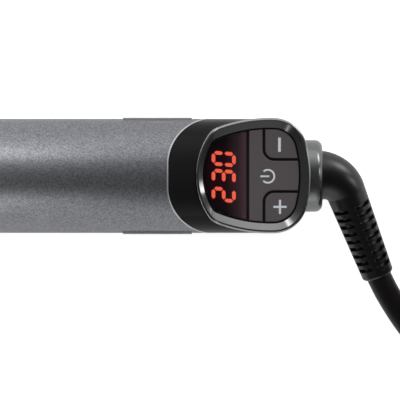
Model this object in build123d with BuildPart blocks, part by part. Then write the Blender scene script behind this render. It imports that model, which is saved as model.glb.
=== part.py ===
from build123d import *
import os
from math import cos, pi, radians, sin, sqrt, tan

# A curling iron with a spring clamp and a digital control pod, lying on a table with its panel up.
# X runs along the handle towards the cord, Z is up, and the origin is on the table under the middle.

os.makedirs("parts", exist_ok=True)

# ---------------------------------------------------------------- driving sizes, in millimetres
handle_d = 34.0
handle_length = 143.5
handle_wall = 2.0
handle_end_round = 8.0
guard_length = 12.0
barrel_d = 25.0
barrel_length = 140.0
barrel_wall = 0.8
tip_length = 22.0
collar_d = 21.4
collar_reach = 6.3
pod_setback = 14.5  # from the handle's end plane to the middle of the control pod
pod_length_front = 16.9
pod_length_back = 17.0
pod_front_r = 21.3
pod_back_r = 38.0
pod_side_r = 44.0
pod_widest_x = 5.0
pod_corner_r = 10.0
pod_shoulder_r = 6.0
pod_front_share = 0.72  # how far the front arc moves inwards, as a share of the other arcs
pod_rise = 2.5  # the rim's top above the handle's top line
rim_width = 2.9
rim_crest = 0.92  # from the outline to the top of the rim's inward slope
rim_edge_r = 0.85
rim_slope_drop = 0.9
rim_height = 3.5
panel_inset = 3.4  # from the pod's outline to the lens and the buttons
key_gap = 0.75
key_height = 1.6
key_drop = 1.0  # the keys' tops below the rim's top
key_travel = 0.4
lens_thickness = 1.4
strip_width = 4.0  # the power key's cross bar
strip_left = -1.12
tongue_width = 8.72
key_fillet = 3.4
housing_front = 24.95  # from the pod's middle to the front edge of the black housing
housing_corner_r = 13.6
trim_width = 0.42
trim_depth = 1.4
pad_length = 20.5
pad_back = 18.0  # from the pod's middle to the grip pads' near end
pad_height = 7.0
pad_proud = 0.35
pad_thickness = 1.3
cord_d = 7.4
boot_d = 15.1
boot_bent_d = 11.8
boot_tip_d = 9.5
boot_bend_r = 8.2
boot_turn = 69.0
boot_droop = 14.0
boot_straight = 27.1
journal_r = 6.0
bush_wall = 1.85
clamp_gap = 0.3
clamp_thickness = 0.9
clamp_length = 112.0
clamp_half_angle = 50.0
clamp_pin_r = 1.25
clamp_pin_height = 17.3  # above the barrel's axis
clamp_pin_back = 9.0  # from the guard's front to the pin
ear_spacing = 12.4
ear_thickness = 1.2
lever_angle = 22.0
lever_length = 40.0
lever_width = 9.0
paddle_width = 17.0
foot_width = 36.0
foot_pad_height = 1.2
fixed_gap = 0.05  # between pieces that are fixed to each other
moving_gap = 0.3  # round pieces that move
running_gap = 0.05  # round a shaft in its bearing
board_thickness = 1.6

# ---------------------------------------------------------------- stations along the iron
handle_r = handle_d / 2
axis_z = handle_r
barrel_r = barrel_d / 2
collar_r = collar_d / 2
total_length = tip_length + barrel_length + guard_length + handle_length + collar_reach
x_collar_end = total_length / 2
x_handle_end = x_collar_end - collar_reach
x_handle_front = x_handle_end - handle_length
x_guard = x_handle_front - guard_length
x_barrel_front = x_guard - barrel_length
x_tip = x_barrel_front - tip_length
x_pod = x_handle_end - pod_setback
handle_bore_r = handle_r - handle_wall
end_wall = 2.4
spigot_length = collar_reach - 1.5
spigot_r = journal_r + running_gap + bush_wall + fixed_gap + 1.45
x_spigot_end = x_handle_end + spigot_length

# heights of the control stack
rim_top = axis_z + handle_r + pod_rise
rim_seat = rim_top - rim_height
key_top = rim_top - key_drop
key_bottom = key_top - key_height
deck_top = key_bottom - key_travel - 0.2
deck_thickness = 1.2
deck_bottom = deck_top - deck_thickness
lens_top = key_top - 0.1
lens_bottom = lens_top - lens_thickness
switch_height = 1.1
plunger_top = deck_bottom + 0.5
control_board_top = deck_bottom - switch_height - 0.2
control_board_bottom = control_board_top - board_thickness


# ---------------------------------------------------------------- planes and small helpers
def across(x):
    """The plane square to the handle's axis at x: its own x is +Y and its own y is +Z."""
    return Plane(origin=(x, 0, axis_z), x_dir=(0, 1, 0), z_dir=(1, 0, 0))


def panel(z):
    """The level plane at height z, with its origin under the middle of the control pod."""
    return Plane(origin=(x_pod, 0, z))


long_section = Plane(origin=(0, 0, axis_z), x_dir=(1, 0, 0), z_dir=(0, -1, 0))
handle_axis = Axis((0, 0, axis_z), (1, 0, 0))


def turned(points, mode=Mode.ADD):
    """Turn a closed profile of (x, radius) points about the handle's axis."""
    with BuildSketch(long_section) as profile:
        with BuildLine():
            Polyline(*points, close=True)
        make_face()
    revolve(profile.sketch, axis=handle_axis, mode=mode)


def sleeve(x_low, x_high, outer_r, inner_r=0.0, mode=Mode.ADD):
    """A tube or a bar on the handle's axis."""
    turned([(x_low, inner_r), (x_high, inner_r), (x_high, outer_r), (x_low, outer_r)], mode)


def rod(x_low, x_high, r, y=0.0, z=0.0, mode=Mode.ADD):
    """A round bar along X, at y and z from the handle's axis."""
    with BuildSketch(across(x_low)) as profile:
        with Locations((y, z)):
            Circle(r)
    extrude(profile.sketch, amount=x_high - x_low, mode=mode)


def pin_across(x, z, r, y_low, y_high, mode=Mode.ADD):
    """A round bar along Y at x and height z."""
    with BuildSketch(Plane(origin=(x, y_low, z), x_dir=(1, 0, 0), z_dir=(0, 1, 0))) as profile:
        Circle(r)
    extrude(profile.sketch, amount=y_high - y_low, mode=mode)


def post(x, y, r, z_low, z_high, mode=Mode.ADD):
    """An upright round bar or hole."""
    with BuildSketch(Plane.XY.offset(z_low)) as profile:
        with Locations((x, y)):
            Circle(r)
    extrude(profile.sketch, amount=z_high - z_low, mode=mode)


def block(x_low, x_high, y_low, y_high, z_low, z_high, mode=Mode.ADD):
    """A square block between its faces."""
    with BuildSketch(Plane.XY.offset(z_low)) as profile:
        with Locations(((x_low + x_high) / 2, (y_low + y_high) / 2)):
            Rectangle(x_high - x_low, y_high - y_low)
    extrude(profile.sketch, amount=z_high - z_low, mode=mode)


def side_plate(points, y_low, y_high, mode=Mode.ADD):
    """A flat plate of (x, z) points standing along the handle, from y_low to y_high."""
    with BuildSketch(Plane(origin=(0, y_high, 0), x_dir=(1, 0, 0), z_dir=(0, -1, 0))) as profile:
        with BuildLine():
            Polyline(*points, close=True)
        make_face()
    extrude(profile.sketch, amount=y_high - y_low, mode=mode)


def prism(outline, z_low, z_high, mode=Mode.ADD):
    """A flat outline, drawn about the pod's middle, raised from z_low to z_high."""
    with BuildSketch(panel(z_low)) as profile:
        add(outline.sketch)
    extrude(profile.sketch, amount=z_high - z_low, mode=mode)


# ---------------------------------------------------------------- outlines of the control pod from above
pod_half_width = handle_r + 0.05
front_centre = Vector(pod_front_r - pod_length_front, 0)
back_centre = Vector(pod_length_back - pod_back_r, 0)
side_centre = Vector(pod_widest_x, pod_half_width - pod_side_r)


def crossing(centre_a, r_a, centre_b, r_b, near):
    """The crossing of two circles that lies nearer to the place near."""
    apart = centre_b - centre_a
    along = (apart.length**2 + r_a**2 - r_b**2) / (2 * apart.length)
    aside = sqrt(r_a**2 - along**2)
    foot = centre_a + apart.normalized() * along
    square = Vector(-apart.Y, apart.X).normalized()
    return min((foot + square * aside, foot - square * aside), key=lambda place: (place - near).length)


def pod_inset(amount, front_share=pod_front_share):
    """The pod's outline moved inwards by amount: four arcs about fixed middles, with round corners."""
    front, side, back = pod_front_r - amount * front_share, pod_side_r - amount, pod_back_r - amount
    shoulder = crossing(front_centre, front, side_centre, side, Vector(-pod_length_front, pod_half_width))
    corner = crossing(side_centre, side, back_centre, back, Vector(pod_length_back, pod_half_width))
    bulge = side_centre + Vector(0, side)
    low_shoulder, low_corner, low_bulge = ((v.X, -v.Y) for v in (shoulder, corner, bulge))
    with BuildSketch() as outline:
        with BuildLine():
            ThreePointArc(low_shoulder, (front_centre.X - front, 0), shoulder)
            ThreePointArc(shoulder, bulge, corner)
            ThreePointArc(corner, (pod_length_back - amount, 0), low_corner)
            ThreePointArc(low_corner, low_bulge, low_shoulder)
        make_face()
        fillet(outline.vertices().group_by(Axis.X)[-1], pod_corner_r - amount)
        fillet(outline.vertices().group_by(Axis.X)[0], pod_shoulder_r - amount)
    return outline


pod_plan = pod_inset(0)


def pod_share(share):
    """The pod's outline, scaled about its middle."""
    with BuildSketch() as outline:
        add(pod_plan.sketch)
        scale(by=share)
    return outline


key_area = pod_inset(panel_inset)
strip_right = strip_left + strip_width
tongue_half = tongue_width / 2
key_left = strip_right + key_gap
key_near = tongue_half + key_gap
far = handle_d

with BuildSketch() as power_plan:
    with Locations(((strip_left + strip_right) / 2, 0)):
        Rectangle(strip_width, 2 * far)
    with Locations(((strip_left + far) / 2, 0)):
        Rectangle(far - strip_left, tongue_width)
    at_strip = power_plan.vertices().filter_by(lambda v: abs(v.X - strip_right) < 0.01)
    fillet(at_strip.filter_by(lambda v: abs(v.Y) < far / 2), key_fillet)
    add(key_area.sketch, mode=Mode.INTERSECT)

with BuildSketch() as minus_plan:
    with Locations(((key_left + far) / 2, (key_near + far) / 2)):
        Rectangle(far - key_left, far - key_near)
    fillet(minus_plan.vertices().sort_by(Axis.X)[:2].sort_by(Axis.Y)[0], key_fillet - key_gap)
    add(key_area.sketch, mode=Mode.INTERSECT)

with BuildSketch() as plus_plan:
    add(minus_plan.sketch)
    mirror(about=Plane.XZ, mode=Mode.REPLACE)

lens_gap = 0.7  # between the lens and the power key
lens_right = strip_left - lens_gap


def window(amount):
    """The D-shaped outline of the lens, moved inwards by amount."""
    with BuildSketch() as outline:
        add(pod_inset(panel_inset + amount).sketch)
        with Locations((lens_right - amount + far / 2, 0)):
            Rectangle(far, 2 * far, mode=Mode.SUBTRACT)
    return outline


lens_plan = window(0)
ledge_width = 0.4
ledge_plan = window(ledge_width)
display_plan = window(ledge_width + 0.1)


def housing_plan(grow):
    """The black housing's front edge seen from above, with round corners, moved outwards by grow."""
    corner = housing_corner_r + grow
    corner_x = -housing_front + housing_corner_r
    corner_y = handle_r - housing_corner_r
    slope = corner * sin(radians(45))
    with BuildSketch() as outline:
        with BuildLine():
            Polyline((corner_x, corner_y + corner), (corner_x, far), (far, far), (far, -far),
                     (corner_x, -far), (corner_x, -corner_y - corner))
            ThreePointArc((corner_x, -corner_y - corner), (corner_x - slope, -corner_y - slope),
                          (corner_x - corner, -corner_y))
            Line((corner_x - corner, -corner_y), (corner_x - corner, corner_y))
            ThreePointArc((corner_x - corner, corner_y), (corner_x - slope, corner_y + slope),
                          (corner_x, corner_y + corner))
        make_face()
    return outline


# ---------------------------------------------------------------- the handle's outer and inner forms
def handle_solid(r, x_low, x_high, end_round):
    """A solid bar of the handle's outline with a rounded cord end."""
    with BuildPart() as form:
        with BuildSketch(long_section) as profile:
            with BuildLine():
                Polyline((x_low, 0), (x_low, r), (x_high, r), (x_high, 0), close=True)
            make_face()
            fillet(profile.vertices().group_by(Axis.X)[-1].sort_by(Axis.Y)[-1], end_round)
        revolve(axis=handle_axis)
    return form


handle_form = handle_solid(handle_r, x_handle_front, x_handle_end, handle_end_round)
handle_bore = handle_solid(
    handle_bore_r, x_handle_front - 1, x_handle_end - end_wall, handle_end_round - handle_wall
)
trim_bore = handle_solid(
    handle_r - trim_depth, x_handle_front - 1, x_handle_end - trim_depth, handle_end_round - trim_depth
)
bush_r = journal_r + running_gap + bush_wall
bush_flange_r = bush_r + 1.0
x_bush_flange = x_handle_end - end_wall - fixed_gap - 2.0

screw_shank_r = 1.45
screw_head_r = 2.7
screw_post_r = 4.0
recess_half = 0.35  # half the width of the cross in a screw's head
recess_depth = 0.8
screw_stations = [x_handle_front + 18.0, x_pod - 32.0, x_pod - 20.5]
screw_head_low = 1.2
screw_head_high = screw_head_low + 2.2
screw_top = axis_z + 9.0


def screw_holes(top):
    """Holes for the handle's screws, with their heads sunk from below."""
    for x in screw_stations:
        post(x, 0, screw_shank_r + fixed_gap, 0, top, Mode.SUBTRACT)
        post(x, 0, screw_head_r + 0.2, -1, screw_head_high + fixed_gap, Mode.SUBTRACT)


def pad_pocket():
    """The shallow pockets in the handle's two sides that hold the grip pads."""
    for side in (-1, 1):
        near = side * (handle_r + pad_proud - pad_thickness - fixed_gap)
        block(pad_low - fixed_gap, pad_high + fixed_gap, min(near, side * far), max(near, side * far),
              axis_z - pad_height / 2 - fixed_gap, axis_z + pad_height / 2 + fixed_gap, Mode.SUBTRACT)


pad_high = x_pod - pad_back
pad_low = pad_high - pad_length

# ---------------------------------------------------------------- handle shells
with BuildPart() as handle_lower_shell:
    add(handle_form.part)
    sleeve(x_handle_end - 1, x_spigot_end, spigot_r)
    add(handle_bore.part, mode=Mode.SUBTRACT)
    for x in screw_stations:
        post(x, 0, screw_post_r, screw_head_low, axis_z)
    board_front = x_handle_front + 28.0
    board_back = x_pod - 37.0
    board_top = axis_z - 1.6
    board_bottom = board_top - board_thickness
    for x in (board_front + 6, board_back - 6):
        block(x - 1.2, x + 1.2, -6, 6, 1.6, board_bottom)
    brush_back = x_handle_end - 14.5
    brush_front = brush_back - 6.5
    block(brush_front + 1.5, brush_back - 1.5, -6, 6, 1.6, axis_z - 8)
    split(bisect_by=Plane.XY.offset(axis_z), keep=Keep.BOTTOM)
    sleeve(x_handle_end - end_wall - 1, x_spigot_end + 1, bush_r + fixed_gap, mode=Mode.SUBTRACT)
    screw_holes(axis_z + 1)
    pad_pocket()
handle_lower_shell.part.label = "handle_lower_shell"

with BuildPart() as handle_upper_shell:
    add(handle_form.part)
    add(handle_bore.part, mode=Mode.SUBTRACT)
    for x in screw_stations[:2]:
        post(x, 0, screw_post_r, axis_z, axis_z + handle_r - 1.2)
    split(bisect_by=Plane.XY.offset(axis_z), keep=Keep.TOP)
    prism(housing_plan(trim_width + fixed_gap), 0, 3 * axis_z, Mode.SUBTRACT)
    for x in screw_stations[:2]:
        post(x, 0, screw_shank_r + fixed_gap, 0, screw_top + 0.5, Mode.SUBTRACT)
    pad_pocket()
handle_upper_shell.part.label = "handle_upper_shell"

skirt_low = axis_z + 8.0
skirt_high = rim_seat - 1.5
skirt_wall_share = 0.085
frame_inset = rim_width + 0.15
with BuildPart() as control_housing:
    add(handle_form.part)
    sleeve(x_handle_end - 1, x_spigot_end, spigot_r)
    prism(housing_plan(0), axis_z + trim_width, 3 * axis_z, Mode.INTERSECT)
    with BuildSketch(panel(skirt_low)):
        add(pod_share(0.62).sketch)
    with BuildSketch(panel(skirt_high)):
        add(pod_share(0.965).sketch)
    loft(ruled=True)
    prism(pod_share(0.965), skirt_high, rim_seat)
    add(handle_bore.part, mode=Mode.SUBTRACT)
    with BuildSketch(panel(skirt_low)):
        add(pod_share(0.62 - skirt_wall_share).sketch)
    with BuildSketch(panel(skirt_high)):
        add(pod_share(0.965 - skirt_wall_share).sketch)
    loft(ruled=True, mode=Mode.SUBTRACT)
    prism(pod_inset(frame_inset - fixed_gap), skirt_high - 0.01, rim_top + 1, Mode.SUBTRACT)
    prism(pod_inset(-fixed_gap), rim_seat, rim_top + 1, Mode.SUBTRACT)
    post(screw_stations[2], 0, screw_post_r, axis_z + trim_width, axis_z + handle_r - 1.2)
    post(screw_stations[2], 0, screw_shank_r + fixed_gap, 0, screw_top + 0.5, Mode.SUBTRACT)
    sleeve(x_handle_end - end_wall - 1, x_spigot_end + 1, bush_r + fixed_gap, mode=Mode.SUBTRACT)
control_housing.part.label = "control_housing"

with BuildPart() as housing_trim:
    add(handle_form.part)
    add(trim_bore.part, mode=Mode.SUBTRACT)
    prism(housing_plan(trim_width), axis_z, 3 * axis_z, Mode.INTERSECT)
    prism(housing_plan(fixed_gap), axis_z + trim_width - fixed_gap, 3 * axis_z, Mode.SUBTRACT)
    sleeve(x_handle_end - 2 * trim_depth, x_spigot_end, collar_r, mode=Mode.SUBTRACT)
    pad_pocket()
housing_trim.part.label = "housing_trim"

with BuildPart() as side_grip_pads:
    sleeve(pad_low, pad_high, handle_r + pad_proud, handle_bore_r)
    block(pad_low - 1, pad_high + 1, -far, far, axis_z + pad_height / 2, 3 * axis_z, Mode.SUBTRACT)
    block(pad_low - 1, pad_high + 1, -far, far, -axis_z, axis_z - pad_height / 2, Mode.SUBTRACT)
    inside = handle_r + pad_proud - pad_thickness
    block(pad_low - 1, pad_high + 1, -inside, inside, -axis_z, 3 * axis_z, Mode.SUBTRACT)
side_grip_pads.part.label = "side_grip_pads"

with BuildPart() as handle_screws:
    for x in screw_stations:
        post(x, 0, screw_head_r, screw_head_low, screw_head_high)
        post(x, 0, screw_shank_r, screw_head_high, screw_top)
        for half_x, half_y in ((screw_head_r, recess_half), (recess_half, screw_head_r)):
            block(x - half_x, x + half_x, -half_y, half_y, screw_head_low - 1, screw_head_low + recess_depth,
                  Mode.SUBTRACT)
handle_screws.part.label = "handle_screws"

# ---------------------------------------------------------------- control pod
with BuildPart() as control_bezel:
    prism(pod_plan, rim_seat, rim_top)
    prism(pod_inset(rim_width), rim_seat - 1, rim_top + 1, Mode.SUBTRACT)
    with BuildSketch(panel(rim_top - rim_slope_drop)):
        add(pod_inset(rim_width).sketch)
    with BuildSketch(panel(rim_top)):
        add(pod_inset(rim_crest, front_share=1).sketch)
    loft(ruled=True, mode=Mode.SUBTRACT)
    fillet(control_bezel.faces().sort_by(Axis.Z)[-1].outer_wire().edges(), rim_edge_r)
control_bezel.part.label = "control_bezel"

power_stem = (9.0, 0.0)
minus_stem = (8.2, 9.0)
plus_stem = (8.2, -9.0)
stem_r = 1.5
board_posts = [(-1.2, 8.0), (-1.2, -8.0), (3.6, 0.0)]
board_screw_r = 1.0

with BuildPart() as button_frame:
    prism(pod_inset(frame_inset), deck_bottom, deck_top)
    prism(lens_plan, deck_top, lens_bottom)
    prism(ledge_plan, deck_top, lens_bottom + 1, Mode.SUBTRACT)
    for u, v in board_posts:
        post(x_pod + u, v, board_screw_r + 1.0, control_board_top, deck_bottom)
        post(x_pod + u, v, board_screw_r + fixed_gap, control_board_top - 1, deck_bottom + 0.8, Mode.SUBTRACT)
    for u, v in (power_stem, minus_stem, plus_stem):
        post(x_pod + u, v, stem_r + moving_gap, deck_bottom - 1, deck_top + 1, Mode.SUBTRACT)
button_frame.part.label = "button_frame"

with BuildPart() as display_lens:
    prism(lens_plan, lens_bottom, lens_top)
    fillet(display_lens.faces().sort_by(Axis.Z)[-1].edges(), 0.3)
display_lens.part.label = "display_lens"

display_top = deck_top + 0.5
with BuildPart() as display_module:
    prism(display_plan, deck_top, display_top)
display_module.part.label = "display_module"

# the figures 2, 3 and 0 in seven segments, read along +Y with their tops towards the barrel
digit_height = 6.05  # between the middles of the top and bottom bars
digit_width = 3.3
bar_thickness = 1.08
bar_gap = 0.22
digit_slant = tan(radians(4.5))
digit_pitch = 5.28
digit_middle = (-8.6, -0.35)
print_height = 0.12
lit_bars = ["abged", "abgcd", "abcdef"]


def bar(place, row):
    """One tapered bar of a figure; row counts the figures from the first, 0, to the last, 2."""
    w, h, t = digit_width / 2, digit_height / 2, bar_thickness / 2
    ends = {
        "a": ((-w, h), (w, h)), "d": ((-w, -h), (w, -h)), "g": ((-w, 0), (w, 0)),
        "b": ((w, 0), (w, h)), "c": ((w, -h), (w, 0)), "e": ((-w, -h), (-w, 0)), "f": ((-w, 0), (-w, h)),
    }[place]
    (x0, y0), (x1, y1) = ends
    along = Vector(x1 - x0, y1 - y0).normalized()
    aside = Vector(-along.Y, along.X)
    start = Vector(x0, y0) + along * bar_gap
    stop = Vector(x1, y1) - along * bar_gap
    corners = [start, start + (along + aside) * t, stop + (aside - along) * t,
               stop, stop - (along + aside) * t, start + (along - aside) * t]
    points = []
    for c in corners:
        right = c.X + c.Y * digit_slant
        points.append((digit_middle[0] - c.Y, digit_middle[1] + right + (row - 1) * digit_pitch))
    with BuildLine() as edge:
        Polyline(*points, close=True)
    make_face(edge.line)


def digits(wanted):
    """The bars for which wanted(place, row) is true, on top of the display."""
    with BuildSketch(panel(display_top)) as bars:
        for row in range(3):
            for place in "abcdefg":
                if wanted(place, row):
                    bar(place, row)
    extrude(bars.sketch, amount=print_height)


with BuildPart() as display_digits:
    digits(lambda place, row: place in lit_bars[row])
display_digits.part.label = "display_digits"

with BuildPart() as display_dark_bars:
    digits(lambda place, row: place not in lit_bars[row])
display_dark_bars.part.label = "display_dark_bars"

legend_depth = 0.3
legend_low = key_top - legend_depth
legend_proud = 0.02


def key(plan, stem, legend):
    """A push key: its cap, its stem down to the switch, and the pocket for its legend."""
    with BuildPart() as cap:
        prism(plan, key_bottom, key_top)
        fillet(cap.faces().sort_by(Axis.Z)[-1].edges(), 0.25)
        post(x_pod + stem[0], stem[1], stem_r, plunger_top + key_travel + 0.1, key_bottom)
        prism(legend, legend_low, key_top + 1, Mode.SUBTRACT)
    return cap


with BuildSketch() as minus_legend_plan:
    with Locations((7.84, 9.1)):
        Rectangle(0.8, 4.15)

with BuildSketch() as plus_legend_plan:
    with Locations((8.0, -9.22)):
        Rectangle(3.9, 0.64)
        Rectangle(0.64, 4.15)

power_mark_r = 1.9
power_mark_stroke = 0.52
power_mark = (4.42, -0.2)
with BuildSketch() as power_legend_plan:
    with Locations(power_mark):
        Circle(power_mark_r + power_mark_stroke / 2)
        Circle(power_mark_r - power_mark_stroke / 2, mode=Mode.SUBTRACT)
    with BuildLine():
        reach = 2 * power_mark_r
        Polyline(power_mark, (power_mark[0] - reach, power_mark[1] + 1.15 * reach),
                 (power_mark[0] - reach, power_mark[1] - 1.0 * reach), close=True)
    make_face(mode=Mode.SUBTRACT)
    with Locations((power_mark[0] - 0.9, power_mark[1])):
        Rectangle(2.6, power_mark_stroke)


def legend(plan):
    """The pale moulded symbol let into a key's cap."""
    with BuildPart() as inlay:
        prism(plan, legend_low, key_top + legend_proud)
    return inlay


power_button = key(power_plan, power_stem, power_legend_plan)
power_button.part.label = "power_button"
minus_button = key(minus_plan, minus_stem, minus_legend_plan)
minus_button.part.label = "minus_button"
plus_button = key(plus_plan, plus_stem, plus_legend_plan)
plus_button.part.label = "plus_button"
power_legend = legend(power_legend_plan)
power_legend.part.label = "power_legend"
minus_legend = legend(minus_legend_plan)
minus_legend.part.label = "minus_legend"
plus_legend = legend(plus_legend_plan)
plus_legend.part.label = "plus_legend"

with BuildPart() as control_board:
    prism(pod_share(0.72), control_board_bottom, control_board_top)
    for u, v in board_posts:
        post(x_pod + u, v, board_screw_r + fixed_gap, control_board_bottom - 1, control_board_top + 1,
             Mode.SUBTRACT)
control_board.part.label = "control_board"

with BuildPart() as control_switches:
    for u, v in (power_stem, minus_stem, plus_stem):
        x = x_pod + u
        block(x - 2.2, x + 2.2, v - 2.2, v + 2.2, control_board_top, control_board_top + switch_height)
        post(x, v, 0.8, control_board_top + switch_height, plunger_top)
control_switches.part.label = "control_switches"

with BuildPart() as board_screws:
    for u, v in board_posts:
        post(x_pod + u, v, board_screw_r + 0.7, control_board_bottom - 1.2, control_board_bottom)
        post(x_pod + u, v, board_screw_r, control_board_bottom, deck_bottom + 0.6)
board_screws.part.label = "board_screws"

# ---------------------------------------------------------------- electronics in the grip
board_half = handle_bore_r - 3.0
with BuildPart() as power_board:
    block(board_front, board_back, -board_half, board_half, board_bottom, board_top)
power_board.part.label = "power_board"

# a capacitor, a choke, a relay, a tall heat plate and a flat chip, all inside the board's edges
capacitor_r = 5.0
relay_height = 7.0
chip_height = 2.5
choke_height = handle_bore_r - 6.0
plate_height = handle_bore_r - 4.0
component_low = board_front + 10.0
component_high = board_back - 16.0
component_middle = (component_low + component_high) / 2
with BuildPart() as power_components:
    rod(component_low + 2, component_middle - 1, capacitor_r, y=board_half - capacitor_r - 1.5,
        z=board_top - axis_z + capacitor_r)
    block(component_middle + 1, component_high, 0.5, board_half - 1, board_top, board_top + choke_height)
    block(component_low, component_middle - 5, 2 - board_half, -2, board_top, board_top + relay_height)
    plate_x = component_middle + 1
    block(plate_x, plate_x + 3, 1.5 - board_half, -1.5, board_top, board_top + plate_height)
    block(component_high - 10, component_high, 3 - board_half, -3, board_top, board_top + chip_height)
power_components.part.label = "power_components"

ribbon_x = x_pod - 4.0
ribbon_outer = 9.6
ribbon_width = 3.0
with BuildPart() as control_ribbon:
    with BuildSketch(long_section.offset(-ribbon_outer)):
        with BuildLine():
            Polyline((board_back - 5, board_top - axis_z + 0.3), (board_back + 6, board_top - axis_z + 0.3),
                     (ribbon_x, control_board_bottom - axis_z - 5), (ribbon_x, control_board_bottom - axis_z))
        trace(line_width=0.5)
    extrude(amount=ribbon_width)
control_ribbon.part.label = "control_ribbon"

lead_r = 0.8
lead_y = 5.2
with BuildPart() as mains_leads:
    for y in (-lead_y, lead_y):
        rod(board_back - 4, brush_front, lead_r, y=y, z=board_top - axis_z + lead_r + 0.1)
mains_leads.part.label = "mains_leads"

# ---------------------------------------------------------------- cord swivel
collar_bore_r = boot_d / 2 + 0.4
with BuildPart() as cord_collar:
    turned([
        (x_handle_end + 0.1, spigot_r + fixed_gap), (x_handle_end + 0.1, collar_r), (x_collar_end, collar_r),
        (x_collar_end, collar_bore_r), (x_spigot_end + 0.1, collar_bore_r),
        (x_spigot_end + 0.1, spigot_r + fixed_gap),
    ])
    rear_edge = cord_collar.edges().filter_by(GeomType.CIRCLE).group_by(Axis.X)[-1].sort_by(SortBy.RADIUS)[-1]
    fillet(rear_edge, 2.2)
cord_collar.part.label = "cord_collar"

x_bush_end = x_handle_end + 2.0
with BuildPart() as swivel_bush:
    sleeve(x_bush_flange, x_bush_end, bush_r, journal_r + running_gap)
    sleeve(x_bush_flange, x_bush_flange + 2.0, bush_flange_r, journal_r + running_gap)
swivel_bush.part.label = "swivel_bush"

x_journal_flange = x_bush_flange - 0.1
journal_flange_r = 8.5
x_journal_end = x_collar_end - 1.5
x_ring_face = x_journal_flange - 4.5
with BuildPart() as swivel_journal:
    sleeve(x_journal_flange, x_journal_end, journal_r, cord_d / 2 - 0.6)
    sleeve(x_ring_face, x_journal_flange, journal_flange_r, cord_d / 2 - 0.6)
swivel_journal.part.label = "swivel_journal"

ring_thickness = 0.6
with BuildPart() as slip_rings:
    sleeve(x_ring_face - ring_thickness, x_ring_face, 7.9, 6.5)
    sleeve(x_ring_face - ring_thickness, x_ring_face, 4.9, 3.6)
slip_rings.part.label = "slip_rings"

with BuildPart() as brush_holder:
    block(brush_front, brush_back, -6.5, 6.5, axis_z - 8, axis_z + 8)
brush_holder.part.label = "brush_holder"

with BuildPart() as contact_brushes:
    rod(brush_back, x_ring_face - ring_thickness - moving_gap, 0.6, z=7.2)
    rod(brush_back, x_ring_face - ring_thickness - moving_gap, 0.6, z=-4.25)
contact_brushes.part.label = "contact_brushes"


# the elbow boot: it leaves the collar on the axis, turns aside, and droops to the table
def boot_point(aside, ahead):
    """A place in the boot's own plane, turned about the handle's axis by the droop."""
    droop = radians(boot_droop)
    return Vector(ahead, -aside * cos(droop), axis_z - aside * sin(droop))


def boot_section(distance):
    """Where the boot's middle line is, its direction and its radius, a distance from its root."""
    turn = radians(boot_turn)
    arc = boot_bend_r * turn
    if distance <= boot_stub:
        aside, ahead, angle, r = 0.0, x_boot_root + distance, 0.0, boot_d / 2
    elif distance <= boot_stub + arc:
        angle = (distance - boot_stub) / boot_bend_r
        aside = boot_bend_r * (1 - cos(angle))
        ahead = x_boot_root + boot_stub + boot_bend_r * sin(angle)
        r = (boot_d + (boot_bent_d - boot_d) * angle / turn) / 2
    else:
        angle, past = turn, distance - boot_stub - arc
        aside = boot_bend_r * (1 - cos(turn)) + past * sin(turn)
        ahead = x_boot_root + boot_stub + boot_bend_r * sin(turn) + past * cos(turn)
        r = (boot_bent_d + (boot_tip_d - boot_bent_d) * past / boot_straight) / 2
    heading = boot_point(sin(angle), cos(angle)) - boot_point(0, 0)
    return boot_point(aside, ahead), heading, r


x_boot_root = x_bush_end + moving_gap
boot_stub = x_collar_end - 0.5 - x_boot_root
boot_arc = boot_bend_r * radians(boot_turn)
boot_stations = [0.0, boot_stub] + [boot_stub + boot_arc * k / 9 for k in range(1, 10)]
boot_stations += [boot_stub + boot_arc + boot_straight * k / 3 for k in range(1, 4)]
boot_upright = (0, -sin(radians(boot_droop)), cos(radians(boot_droop)))
with BuildPart() as cord_boot:
    for distance in boot_stations:
        middle, heading, r = boot_section(distance)
        with BuildSketch(Plane(origin=middle, x_dir=boot_upright, z_dir=heading)):
            Circle(r)
    loft(ruled=True)
    sleeve(x_boot_root - 1, x_journal_end + 0.1, journal_r + fixed_gap, mode=Mode.SUBTRACT)
cord_boot.part.label = "cord_boot"

# ---------------------------------------------------------------- cord, put away as a tied hank
cord_r = cord_d / 2
boot_end, _, _ = boot_section(boot_stations[-1])
hank_left = Vector(240.0, -33.7)  # middle of the near loop
loop_r = 3 * cord_d  # middle line of the innermost turn
turn_step = cord_d + 0.2
turns_wide = 2
layers = 3
waist_half = 6.0
waist_gap_r = 30.0
first_offset = turn_step / 2 + 0.15
loop_to_waist = sqrt((loop_r + waist_gap_r) ** 2 - (first_offset + waist_gap_r) ** 2)
hank_span = 2 * (loop_to_waist + waist_half)
hank_height = layers * turn_step
band = cord_r + 0.1 + turn_step * (turns_wide - 1)

lead_points = [
    boot_end,
    Vector(182.3, -36.6, 7.9),
    Vector(190.1, -48.2, 5.6),
    Vector(202.3, -57.7, 4.3),
    Vector(220.5, -63.3, 3.8),
    Vector(240.0, -63.5, 3.75),
]
tail_points = [
    Vector(327.4, -11.8, 26.5),
    Vector(312.0, -14.2, 26.6),
    Vector(298.5, -21.2, 27.9),
    Vector(285.5, -28.4, 29.2),
    Vector(272.0, -31.7, 29.6),
    Vector(260.0, -31.7, 29.6),
]


def route_radii(points):
    """For each corner, 0.45 of its shorter run over the tangent of half its turn."""
    radii = []
    for before, here, after in zip(points, points[1:], points[2:]):
        half_turn = radians((here - before).get_angle(after - here)) / 2
        radii.append(0.45 * min((here - before).length, (after - here).length) / tan(half_turn))
    return radii


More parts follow.
